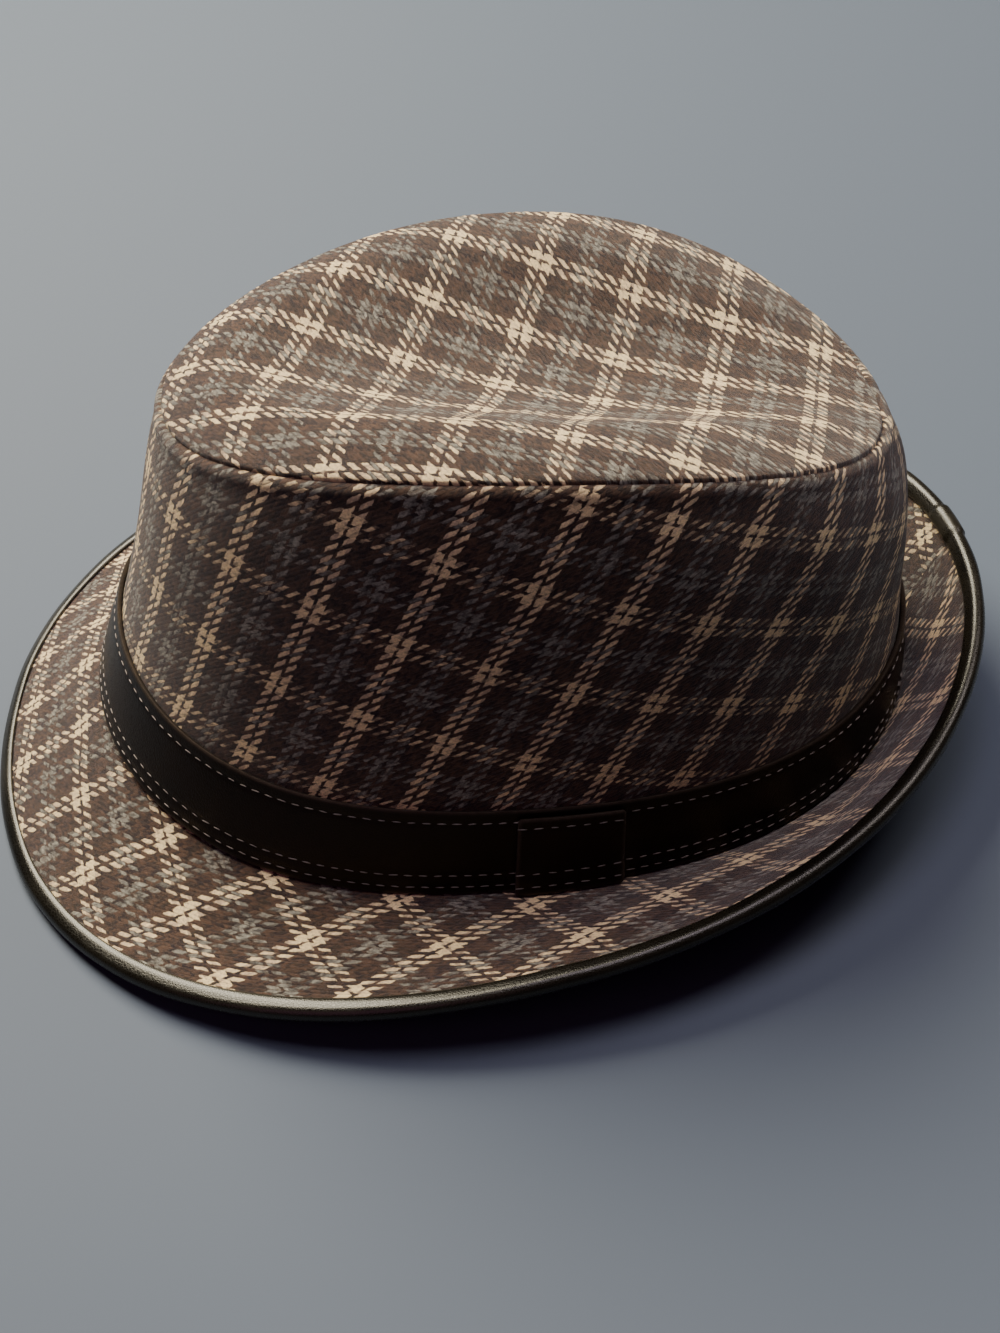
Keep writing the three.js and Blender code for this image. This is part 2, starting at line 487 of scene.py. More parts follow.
class Skin:
    """Builds one closed mesh from a grid of points with its check coordinates."""

    def __init__(self, name: str) -> None:
        """Starts an empty mesh.

        Args:
            name: Name of the piece.
        """
        self.name = name
        self.points: list[Array] = []
        self.faces: list[tuple[int, ...]] = []
        self.corners: list[Array] = []
        self.edge: list[Array] = []
        self.count = 0

    def tube(self, grid: Array, check: Array, edge: Array | None = None, ring: bool = True) -> None:
        """Adds a closed section carried round the hat, or along a strip.

        Args:
            grid: Points (columns + 1, section, 3) in metres; a ring repeats its first column.
            check: Check coordinates (columns + 1, section + 1, 2).
            edge: Nearness to a cut edge (columns + 1, section), 0 to 1.
            ring: Whether the last column joins the first.
        """
        across = grid.shape[1]
        rows = grid.shape[0] - 1 if ring else grid.shape[0]
        base = self.count
        self._store(grid[:rows].reshape(-1, 3), None if edge is None else edge[:rows].ravel())
        for i in range(grid.shape[0] - 1):
            a = base + i * across
            b = base + ((i + 1) % rows) * across
            for j in range(across):
                k = (j + 1) % across
                self.faces.append((a + j, b + j, b + k, a + k))
                self.corners.append(
                    np.array([check[i, j], check[i + 1, j], check[i + 1, j + 1], check[i, j + 1]])
                )
        if not ring:
            last = base + (rows - 1) * across
            self._lid([base + j for j in range(across)], check[0, :across])
            self._lid([last + j for j in reversed(range(across))], check[-1, :across][::-1])

    def dish(self, rings: Array, check: Array, poles: Array, pole_check: Array) -> None:
        """Adds a closed disc: rings from the upper middle over the edge to the lower middle.

        Args:
            rings: Points (columns + 1, rings, 3) in metres.
            check: Check coordinates (columns + 1, rings, 2).
            poles: Upper and lower middle point.
            pole_check: Check coordinates of the two poles.
        """
        columns, count = rings.shape[0] - 1, rings.shape[1]
        base = self.count
        self._store(np.concatenate([rings[:columns].reshape(-1, 3), poles]), None)
        top = base + columns * count
        for i in range(columns):
            a = base + i * count
            b = base + ((i + 1) % columns) * count
            self.faces.append((top, a, b))
            self.corners.append(np.array([pole_check[0], check[i, 0], check[i + 1, 0]]))
            for j in range(count - 1):
                self.faces.append((a + j, a + j + 1, b + j + 1, b + j))
                self.corners.append(
                    np.array([check[i, j], check[i, j + 1], check[i + 1, j + 1], check[i + 1, j]])
                )
            self.faces.append((a + count - 1, top + 1, b + count - 1))
            self.corners.append(np.array([check[i, -1], pole_check[1], check[i + 1, -1]]))

    def _store(self, points: Array, edge: Array | None) -> None:
        """Keeps points and their edge values.

        Args:
            points: Points in metres.
            edge: Nearness to a cut edge, or none where there is no edge.
        """
        self.points.append(points)
        self.edge.append(np.zeros(len(points)) if edge is None else edge)
        self.count += len(points)

    def _lid(self, index: list[int], check: Array) -> None:
        """Closes an open end of a strip with one face."""
        self.faces.append(tuple(index))
        self.corners.append(np.array(check))

    def finish(self, sharp: float = 50.0) -> bpy.types.Object:
        """Makes the object.

        Args:
            sharp: Edges that bend more than this many degrees are shaded sharp.

        Returns:
            The new object, linked to the scene.
        """
        mesh = bpy.data.meshes.new(self.name)
        points = np.concatenate(self.points)
        faces = self.faces
        corners = self.corners
        if signed_volume(points, faces) < 0:
            faces = [tuple(reversed(f)) for f in faces]
            corners = [c[::-1] for c in corners]
        mesh.from_pydata(points.tolist(), [], faces)
        layer = mesh.uv_layers.new(name="check")
        layer.data.foreach_set("uv", np.concatenate(corners).astype(np.float32).ravel())
        # Nearness to a cut edge, which the leather finish lightens as wear and as a painted edge highlight.
        worn = mesh.attributes.new("edge", "FLOAT", "POINT")
        worn.data.foreach_set("value", np.concatenate(self.edge).astype(np.float32))
        mesh.polygons.foreach_set("use_smooth", [True] * len(faces))
        mesh.set_sharp_from_angle(angle=math.radians(sharp))
        mesh.update()
        made = bpy.data.objects.new(self.name, mesh)
        bpy.context.scene.collection.objects.link(made)
        return made


def signed_volume(points: Array, faces: Iterable[Sequence[int]]) -> float:
    """Six times the volume that the faces enclose, below 0 where they point inwards.

    Args:
        points: Points of the mesh.
        faces: Point numbers of each face.

    Returns:
        The signed volume, times six.
    """
    first, second, third = [], [], []
    for f in faces:
        for k in range(1, len(f) - 1):
            first.append(f[0])
            second.append(f[k])
            third.append(f[k + 1])
    a, b, c = points[first], points[second], points[third]
    return float(np.einsum("ij,ij->i", a, np.cross(b, c)).sum())


class Num:
    """A number in a material that takes Python arithmetic."""

    def __init__(self, sheet: "NodeSheet", socket: Any) -> None:
        """Wraps a socket of a node sheet."""
        self.sheet = sheet
        self.socket = socket

    def __add__(self, other: Any) -> "Num":
        """Sum."""
        return self.sheet.math("ADD", self, other)

    __radd__ = __add__

    def __sub__(self, other: Any) -> "Num":
        """Difference."""
        return self.sheet.math("SUBTRACT", self, other)

    def __rsub__(self, other: Any) -> "Num":
        """Difference the other way round."""
        return self.sheet.math("SUBTRACT", other, self)

    def __mul__(self, other: Any) -> "Num":
        """Product."""
        return self.sheet.math("MULTIPLY", self, other)

    __rmul__ = __mul__

    def __pow__(self, other: Any) -> "Num":
        """Power."""
        return self.sheet.math("POWER", self, other)

    def __mod__(self, other: Any) -> "Num":
        """Remainder that is never below 0."""
        return self.sheet.math("FLOORED_MODULO", self, other)

    def __gt__(self, other: Any) -> "Num":
        """1 where it is greater."""
        return self.sheet.math("GREATER_THAN", self, other)

    def __lt__(self, other: Any) -> "Num":
        """1 where it is less."""
        return self.sheet.math("LESS_THAN", self, other)

    def __abs__(self) -> "Num":
        """Size without its sign."""
        return self.sheet.math("ABSOLUTE", self)

    def floor(self) -> "Num":
        """Whole number below."""
        return self.sheet.math("FLOOR", self)

    def held(self, low: float = 0.0, high: float = 1.0) -> "Num":
        """Value held between two limits."""
        return self.sheet.math("MAXIMUM", self.sheet.math("MINIMUM", self, high), low)


class NodeSheet:
    """The node tree of one material."""

    def __init__(self, name: str) -> None:
        """Starts a material with a Principled shader.

        Args:
            name: Name of the material.
        """
        self.material = bpy.data.materials.new(name)
        self.material.use_nodes = True
        self.tree = self.material.node_tree
        self.tree.nodes.clear()
        self.shader = self.add("ShaderNodeBsdfPrincipled")
        self.output = self.add("ShaderNodeOutputMaterial")
        self.link(self.shader.outputs["BSDF"], self.output.inputs["Surface"])

    def add(
        self,
        kind: str,
        settings: dict[str, Any] | None = None,
        inputs: dict[str | int, Any] | None = None,
    ) -> Any:
        """Adds a node.

        Args:
            kind: Type name of the node.
            settings: Properties of the node, set first.
            inputs: Values or links of its sockets, by name or number.

        Returns:
            The new node.
        """
        node = self.tree.nodes.new(kind)
        for key, value in (settings or {}).items():
            setattr(node, key, value)
        for key, value in (inputs or {}).items():
            self.feed(node.inputs[key], value)
        return node

    def feed(self, socket: Any, value: Any) -> None:
        """Sets a socket to a value or links it.

        Args:
            socket: Input of a node.
            value: A number, a colour or vector, or a socket that is linked to it.
        """
        if isinstance(value, Num):
            self.link(value.socket, socket)
        elif isinstance(value, bpy.types.NodeSocket):
            self.link(value, socket)
        else:
            socket.default_value = value

    def link(self, start: Any, end: Any) -> None:
        """Joins an output to an input."""
        self.tree.links.new(start, end)

    def math(self, kind: str, *values: Any) -> Num:
        """Adds a Math node."""
        node = self.add("ShaderNodeMath", {"operation": kind}, dict(enumerate(values)))
        return Num(self, node.outputs[0])

    def pair(self, x: Any, y: Any, z: Any = 0.0) -> Any:
        """Vector of three numbers."""
        return self.add("ShaderNodeCombineXYZ", None, {"X": x, "Y": y, "Z": z}).outputs[0]

    def split(self, vector: Any) -> tuple[Num, Num, Num]:
        """The three numbers of a vector."""
        node = self.add("ShaderNodeSeparateXYZ", None, {"Vector": vector})
        return Num(self, node.outputs[0]), Num(self, node.outputs[1]), Num(self, node.outputs[2])

    def noise(self, vector: Any, scale: float, detail: float = 2.0, rough: float = 0.5) -> Num:
        """Noise about 0.5.

        Args:
            vector: Place in the pattern.
            scale: How many swells for each unit.
            detail: How many finer layers.
            rough: Strength of the finer layers.

        Returns:
            The noise.
        """
        node = self.add(
            "ShaderNodeTexNoise",
            {"noise_dimensions": "3D"},
            {"Vector": vector, "Scale": scale, "Detail": detail, "Roughness": rough},
        )
        return Num(self, node.outputs[0])

    def chance(self, vector: Any) -> Num:
        """A number from 0 to 1 for each whole vector."""
        node = self.add("ShaderNodeTexWhiteNoise", {"noise_dimensions": "3D"}, {"Vector": vector})
        return Num(self, node.outputs["Value"])

    def mix(self, share: Any, low: Any, high: Any) -> Any:
        """Mixes two colours.

        Args:
            share: Share of the second colour.
            low: First colour, three numbers or a socket.
            high: Second colour.

        Returns:
            Colour socket.
        """
        node = self.add("ShaderNodeMix", {"data_type": "RGBA", "clamp_factor": True})
        self.feed(node.inputs[0], share)
        self.feed(node.inputs[6], colour(low))
        self.feed(node.inputs[7], colour(high))
        return node.outputs[2]

    def scale_colour(self, tint: Any, factor: Any) -> Any:
        """Multiplies a colour by a number.

        Args:
            tint: Colour socket.
            factor: Number or socket.

        Returns:
            Colour socket.
        """
        node = self.add("ShaderNodeVectorMath", {"operation": "SCALE"})
        self.feed(node.inputs[0], tint)
        self.feed(node.inputs["Scale"], factor)
        return node.outputs[0]

    def bump(self, height: Any, distance: float, strength: float, under: Any = None) -> Any:
        """Adds a bump from a height.

        Args:
            height: Height, 0 to 1.
            distance: Depth in metres of a height of 1.
            strength: Share of it that is used.
            under: Normal that it stands on.

        Returns:
            Normal socket.
        """
        node = self.add(
            "ShaderNodeBump",
            None,
            {"Height": height, "Distance": distance, "Strength": strength},
        )
        if under is not None:
            self.feed(node.inputs["Normal"], under)
        return node.outputs["Normal"]

    def dress(self, **sockets: Any) -> None:
        """Sets sockets of the Principled shader by name, with _ for a space."""
        for key, value in sockets.items():
            self.feed(self.shader.inputs[key.replace("_", " ")], value)


def colour(value: Any) -> Any:
    """A colour of three numbers with its alpha, or the socket as it is.

    Args:
        value: Three numbers or a socket.

    Returns:
        Four numbers or the socket.
    """
    if isinstance(value, tuple) and len(value) == 3:
        return (*value, 1.0)
    return value


def paint(r: float, g: float, b: float) -> tuple[float, float, float]:
    """Linear colour of an sRGB colour.

    Args:
        r: Red from 0 to 255.
        g: Green.
        b: Blue.

    Returns:
        Three numbers from 0 to 1.
    """

    def line(c: float) -> float:
        """Linear value of one of the three."""
        c = c / 255
        return c / 12.92 if c <= 0.04045 else ((c + 0.055) / 1.055) ** 2.4

    return line(r), line(g), line(b)


@dataclass(frozen=True)
class Weave:
    """Where a point of the cloth lies among the threads, and the form of the thread on top.

    u and v are its place in threads, i and j the threads' numbers, wale the twill line, top and
    under which of the two threads is on top, arch and crown its swell along and across.
    """

    u: Num
    v: Num
    i: Num
    j: Num
    wale: Num
    top: Num
    under: Num
    arch: Num
    crown: Num


@dataclass(frozen=True)
class CheckedWool:
    """Wool twill woven in a brown, cream and grey-blue check."""

    threads: float = 30.0
    wale: float = 4.0
    cover: float = 2.25
    steep: float = 6.0
    cream_at: float = 2.0
    blue_at: float = 13.0
    half_stripe: float = 1.5
    taper: float = 0.53
    brown: tuple[float, float, float] = paint(92, 67, 48)
    umber: tuple[float, float, float] = paint(32, 18, 17)
    olive: tuple[float, float, float] = paint(48, 36, 22)
    cream: tuple[float, float, float] = paint(255, 228, 172)
    sand: tuple[float, float, float] = paint(210, 182, 152)
    blue: tuple[float, float, float] = paint(166, 163, 145)
    slate: tuple[float, float, float] = paint(92, 89, 81)
    weft: float = -0.2
    roughness: float = 0.86
    sheen: float = 0.25
    relief: float = 0.0005

    def from_middle(self, place: Num) -> Num:
        """Threads from the middle of the check, the same to either side."""
        half = self.threads / 2
        return abs((place + half) % self.threads - half)

    def stripe(self, place: Num, middle: float) -> Num:
        """1 on a stripe whose middle is that many threads from the middle of the check."""
        return (place > middle - self.half_stripe) * (place < middle + self.half_stripe)

    def weave(self, s: NodeSheet, u0: Num, v0: Num) -> Weave:
        """Finds the thread on top at each point, of threads that wander a little.

        Args:
            s: The material's nodes.
            u0: Place across the warp, in threads.
            v0: Place along the warp, in threads.

        Returns:
            Place among the threads and the form of the thread on top.
        """
        drift = s.noise(s.pair(u0, v0), 0.5, 3.0, 0.65) - 0.5
        stray = s.noise(s.pair(v0, u0, 7.3), 0.5, 3.0, 0.65) - 0.5
        wander = s.noise(s.pair(u0, v0, 21.0), 0.05, 1.0, 0.5) - 0.5
        roam = s.noise(s.pair(u0, v0, 35.0), 0.05, 1.0, 0.5) - 0.5
        fray = s.noise(s.pair(u0, v0, 41.0), 1.6, 3.0, 0.7) - 0.5
        u = u0 + drift * 1.0 + wander * 1.8 + fray * 1.1 + 0.5
        v = v0 + stray * 1.0 + roam * 1.8 - fray * 0.9 + 0.5
        i, j = u.floor(), v.floor()
        wale = u + v - 0.5
        turn = wale % self.wale
        top = ((turn - self.cover) * -self.steep + 0.5).held() * (turn * self.steep + 0.5).held()
        top = top + ((turn - self.wale) * self.steep + 0.5).held()
        under = 1.0 - top
        rise = turn * (1.0 / self.cover)
        fall = (turn - self.cover) * (1.0 / (self.wale - self.cover))
        ridge = (top * rise + under * fall).held()
        arch = ridge * (1.0 - ridge) * 4.0
        cut = top * (u - i) + under * (v - j)
        crown = (cut * (1.0 - cut) * 4.0).held() ** 0.7
        return Weave(u, v, i, j, wale, top, under, arch, crown)

    def light_threads(self, w: Weave, luck: Num, wisp: Num, fuzz: Num, patch: Num) -> tuple[Num, Num, Num]:
        """Finds the cream and blue threads that lie on top.

        Args:
            w: Place among the threads.
            luck: Chance value of each float of a thread.
            wisp: Unevenness along the threads.
            fuzz: Fine hairs.
            patch: Patches where the blue threads fade.

        Returns:
            Cover by cream, cover by blue, and 1 where two cream stripes cross.
        """
        ring_i = self.from_middle(w.i)
        ring_j = self.from_middle(w.j)
        cream_i = self.stripe(ring_i, self.cream_at)
        cream_j = self.stripe(ring_j, self.cream_at)
        blue_i = self.stripe(ring_i, self.blue_at)
        blue_j = self.stripe(ring_j, self.blue_at)
        both = cream_i * cream_j
        strong = w.top * cream_i * (0.4 + luck * 0.35 + wisp * 0.75)
        weak = w.under * cream_j * (luck * 0.8 + wisp * 1.5 + self.weft).held()
        from_i = self.from_middle(w.u - 0.5)
        from_j = self.from_middle(w.v - 0.5)
        from_mid = w.top * from_i + w.under * from_j
        past_cream = (from_mid - self.cream_at) * self.taper
        past_blue = (from_mid - self.blue_at) * self.taper
        rough = (wisp - 0.5) * 1.6 + (fuzz - 0.5) * 1.2
        bow = w.arch - past_cream * past_cream
        cream_dash = (bow * 1.15 + 0.4 + w.crown * 0.15 + rough).held()
        blue_dash = ((w.arch - past_blue * past_blue) * 0.9 + 0.5 + rough).held()
        faded = (patch * 4.0 - 1.1).held() * (wisp * 3.0 - 0.45).held()
        is_cream = (strong + weak) * cream_dash + both * 0.4
        is_blue = (w.top * blue_i + w.under * blue_j) * faded * blue_dash
        return is_cream, is_blue, both

    def make(self, name: str) -> bpy.types.Material:
        """Makes the material.

        Args:
            name: Name of the material.

        Returns:
            The new material.
        """
        s = NodeSheet(name)
        uv = s.add("ShaderNodeUVMap", {"uv_map": "check"}).outputs[0]
        across, along, _ = s.split(uv)
        u0 = across * self.threads
        v0 = along * self.threads
        w = self.weave(s, u0, v0)
        over = w.top > 0.5
        luck = s.chance(s.pair(over * w.i + (1.0 - over) * w.j, (w.wale * (1.0 / self.wale)).floor(), over))
        fuzz = s.noise(s.pair(u0, v0, 3.1), 1.3, 4.0, 0.75)
        cloud = s.noise(s.pair(u0, v0, 14.0), 0.14, 3.0, 0.65)
        patch = s.noise(s.pair(v0, u0, 27.0), 0.4, 3.0, 0.7)
        broad = s.noise(s.pair(u0, v0), 0.03, 2.0, 0.5)
        wisp = s.noise(s.pair(w.wale * 0.9, (u0 - v0) * 0.3, 4.0), 1.0, 4.0, 0.72)
        is_cream, is_blue, both = self.light_threads(w, luck, wisp, fuzz, patch)
        dark = s.mix((cloud - 0.38) * 4.0, self.umber, self.olive)
        ground = s.mix(luck * 0.9 + wisp * 3.4 - 1.75, dark, self.brown)
        bluish = s.mix(luck * 0.8 + wisp * 1.8 - 0.85, self.slate, self.blue)
        light = s.mix(luck * 0.7 + wisp * 1.4 + both * 0.5 - 0.5, self.sand, self.cream)
        tint = s.mix(is_blue.held(), ground, bluish)
        tint = s.mix(is_cream.held(), tint, light)
        height = w.arch * (0.6 + w.crown * 0.4)
        # Painted shade between the threads from the weave's height, times random tone from broad and fine
        # noise.
        shade = (0.92 + height * 0.08) * (0.84 + broad * 0.3) * (0.22 + fuzz * 1.5)
        tint = s.scale_colour(tint, shade)
        hairs = s.noise(s.pair(u0, v0, 9.0), 3.5, 3.0, 0.7)
        normal = s.bump(height * 0.22 + hairs * 0.75, self.relief, 0.9)
        s.dress(
            Base_Color=tint,
            Roughness=self.roughness,
            Normal=normal,
            Sheen_Weight=self.sheen,
            Sheen_Roughness=0.45,
            Specular_IOR_Level=0.25,
        )
        return s.material


@dataclass(frozen=True)
class DarkLeather:
    """Glossy, finely grained, very dark brown leather."""

    deep: tuple[float, float, float] = paint(5, 3, 2)
    warm: tuple[float, float, float] = paint(22, 12, 7)
    # Colour the edges are lightened towards: wear, and a painted highlight along the edges.
    worn: tuple[float, float, float] = paint(120, 108, 94)
    gloss: float = 0.34
    coat: float = 0.05
    shine: float = 0.24
    # Share of that edge lightening, partly wear and partly painted highlight.
    wear: float = 0.3
    grain: float = 0.55
    glint: tuple[float, float, float, float] = (1.0, 0.74, 0.52, 1.0)
    ripple: float = 0.0004

    def make(self, name: str) -> bpy.types.Material:
        """Makes the material.

        Args:
            name: Name of the material.

        Returns:
            The new material.
        """
        s = NodeSheet(name)
        place = s.add("ShaderNodeTexCoord").outputs["Object"]
        cells = s.add(
            "ShaderNodeTexVoronoi",
            {"feature": "DISTANCE_TO_EDGE"},
            {"Vector": place, "Scale": 1500.0, "Randomness": 1.0},
        ).outputs["Distance"]
        grain = (Num(s, cells) * 5.0).held()
        broad = s.noise(place, 60.0, 3.0, 0.55)
        fine = s.noise(place, 700.0, 3.0, 0.6)
        # Edges, read from the mesh's edge attribute, are lightened: partly wear, partly a painted highlight
        # along them.
        worn = s.add("ShaderNodeAttribute", {"attribute_name": "edge"}).outputs["Fac"]
        rub_and_highlight = (Num(s, worn) * (0.3 + fine * 1.1)).held() * self.wear
        tint = s.mix((broad - 0.3) * 1.6, self.deep, self.warm)
        tint = s.mix(rub_and_highlight, tint, self.worn)
        rough = self.gloss + (broad - 0.5) * 0.2 + (1.0 - grain) * 0.12 + rub_and_highlight * 0.15
        normal = s.bump(grain * 0.6 + fine * 0.4, 0.00012, self.grain)
        normal = s.bump(broad, self.ripple, 0.35, normal)
        s.dress(
            Base_Color=tint,
            Roughness=rough.held(0.12, 0.8),
            Normal=normal,
            Specular_IOR_Level=self.shine,
            Specular_Tint=self.glint,
            Coat_Weight=self.coat,
            Coat_Roughness=0.25,
        )
        return s.material


@dataclass(frozen=True)
class SewingThread:
    """Pale grey-beige sewing thread."""

    pale: tuple[float, float, float] = paint(150, 140, 130)
    dull: tuple[float, float, float] = paint(88, 80, 74)

    def make(self, name: str) -> bpy.types.Material:
        """Makes the material.

        Args:
            name: Name of the material.

        Returns:
            The new material.
        """
        s = NodeSheet(name)
        place = s.add("ShaderNodeTexCoord").outputs["Object"]
        fleck = s.noise(place, 900.0, 2.0, 0.6)
        ply = s.noise(place, 3500.0, 1.0, 0.5)
        tint = s.mix(fleck * 1.4 - 0.2, self.dull, self.pale)
        s.dress(Base_Color=tint, Roughness=0.6, Normal=s.bump(ply, 0.0001, 0.6))
        return s.material


@dataclass(frozen=True)
class PlainFloor:
    """Plain pale floor."""

    pale: tuple[float, float, float] = paint(80, 90, 102)
    cloudy: tuple[float, float, float] = paint(76, 86, 98)

    def make(self, name: str) -> bpy.types.Material:
        """Makes the material.

        Args:
            name: Name of the material.

        Returns:
            The new material.
        """
        s = NodeSheet(name)
        place = s.add("ShaderNodeTexCoord").outputs["Object"]
        tint = s.mix(s.noise(place, 3.0, 2.0, 0.5) * 0.2, self.pale, self.cloudy)
        s.dress(Base_Color=tint, Roughness=0.7, Specular_IOR_Level=0.3)
        return s.material


@dataclass(frozen=True)
class Finishes:
    """The materials that the pieces share."""

    wool: bpy.types.Material
    wall_wool: bpy.types.Material
    band: bpy.types.Material
    binding: bpy.types.Material
    thread: bpy.types.Material

    @staticmethod
    def make() -> "Finishes":
        """Makes all of them."""
        return Finishes(
            CheckedWool().make("wool_check"),
            CheckedWool(weft=-0.6).make("wool_check_wall"),
            DarkLeather().make("leather_band"),
            DarkLeather(
                deep=paint(8, 7, 5),
                warm=paint(27, 24, 15),
                # Edge colour and share: wear, and a painted highlight along the binding's edges.
                worn=paint(92, 86, 66),
                gloss=0.24,
                wear=0.3,
                grain=0.25,
                shine=0.4,
                glint=(1.0, 0.97, 0.86, 1.0),
            ).make("leather_binding"),
            SewingThread().make("sewing_thread"),
        )


def settle_piece(
    piece: bpy.types.Object, slot: Slot, material: bpy.types.Material, *nodes: str
) -> bpy.types.Object:
    """Dresses a piece and ties it to the frame.

    Args:
        piece: The finished object.
        slot: Material slot of the record; not used.
        material: Its material.
        nodes: CAD nodes that it stands for.

    Returns:
        The same object.
    """
    piece.data.materials.clear()
    piece.data.materials.append(material)
    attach(piece, "root")
    if nodes:
        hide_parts(*nodes)
    return piece


@dataclass
class CrownSide:
    """The wall of the crown, with the turned edge of the seam at its top."""

    form: HatForm
    lay: CheckLay = CheckLay(
        centre=(101.04, 74.92),
        across=(4.397, 2.523, -0.198, 0.173, -0.151, 0.056),
        along=(0.907, 0.256, -2.357, 0.088, -0.182, 0.164),
    )
    rows: int = 52
    seam_zone: float = 1.0
    seam_depth: float = 1.2
    lip: float = 0.55
    stitches: float = 150.0
    back_mm_a_degree: float = 1.65
    swell: float = 0.35

    def build(self) -> bpy.types.Object:
        """Builds the wall.

        Returns:
            The new object.
        """
        form = self.form
        t = ring_angles()[:, None]
        wall = np.linalg.norm(form.seam_point(t[:, 0]) - form.head_point(t[:, 0]), axis=-1)
        near = np.array(NEAR_SEAM)
        clear = (form.gap / wall)[:, None]
        even = clear + (1 - SEAM_STEPS / wall[:, None] - clear) * np.linspace(0, 1, self.rows)
        close = 1 - near / wall[:, None]
        up = np.concatenate([even, close], axis=1)
        outer = form.side_point(t, up)
        normal = form.side_normal(t, up)
        from_seam = (1 - up) * wall[:, None]
        groove = self.seam_depth * np.clip(1 - from_seam / self.seam_zone, 0, 1) ** 1.8
        pucker = 1 + 0.25 * np.sin(np.radians(t) * self.stitches) * np.clip(1 - from_seam / 6, 0, 1)
        fade = eased((up - 0.28) / 0.2) * eased(from_seam / 14)
        sway = self.swell * soft_swell(t, up, 5) * fade
        lip = self.lip * np.exp(-(((from_seam - 2.4) / 1.3) ** 2))
        from_back = np.abs(np.abs(t) - 180) * self.back_mm_a_degree
        back = np.exp(-((from_back / 1.1) ** 2)) * 0.5 * eased((up - 0.02) / 0.1)
        outer = outer + normal * (sway + lip - groove * pucker - back)[..., None]
        edge = form.seam_point(t[:, 0]) - form.seam_normal(t[:, 0]) * (self.seam_depth + 0.35)
        down = unit(form.side_point(t[:, 0], np.full(len(t), 0.97)) - form.seam_point(t[:, 0]))
        turned = [edge + down * form.gap / 2]
        turned.append(edge - form.seam_normal(t[:, 0]) * 0.9 + down * form.gap / 2)
        rest = np.linspace(0.86, 0, 18)[None, :] * (1 - clear) + clear
        inner_up = np.concatenate([1 - np.array([4.0, 9.0]) / wall[:, None], rest], axis=1)
        inner_normal = form.side_normal(t, np.maximum(inner_up, 0.02))
        low = eased(inner_up / 0.08)[..., None]
        inner_normal = unit(inner_normal * low + form.head.outward(t) * (1 - low))
        inner = form.side_point(t, inner_up) - inner_normal * form.crown_cloth
        grid = np.concatenate([outer, np.stack(turned, 1), inner], axis=1)
        spans = np.concatenate([up, np.ones((len(t), 2)), inner_up, up[:, :1]], axis=1)
        skin = Skin("crown_side_cloth")
        skin.tube(form.settle(grid), self._check(t[:, 0], spans))
        return skin.finish()

    def _check(self, t: Array, up: Array) -> Array:
        """Check coordinates of points of the wall.

        Args:
            t: Angles in degrees.
            up: Share of the way up for each angle and point.

        Returns:
            Pairs in checks.
        """
        fine = np.linspace(0, 1, 41)[None, :]
        grid = self.form.side_point(t[:, None], fine)
        arc = arc_lengths(grid)
        place, cross = unroll(grid[:, 0], grid[:, -1], len(t) // 2)
        along = np.stack([np.interp(up[k], fine[0], arc[k]) for k in range(len(t))])
        return self.lay.place(place[:, None] + along * np.exp(1j * cross)[:, None])


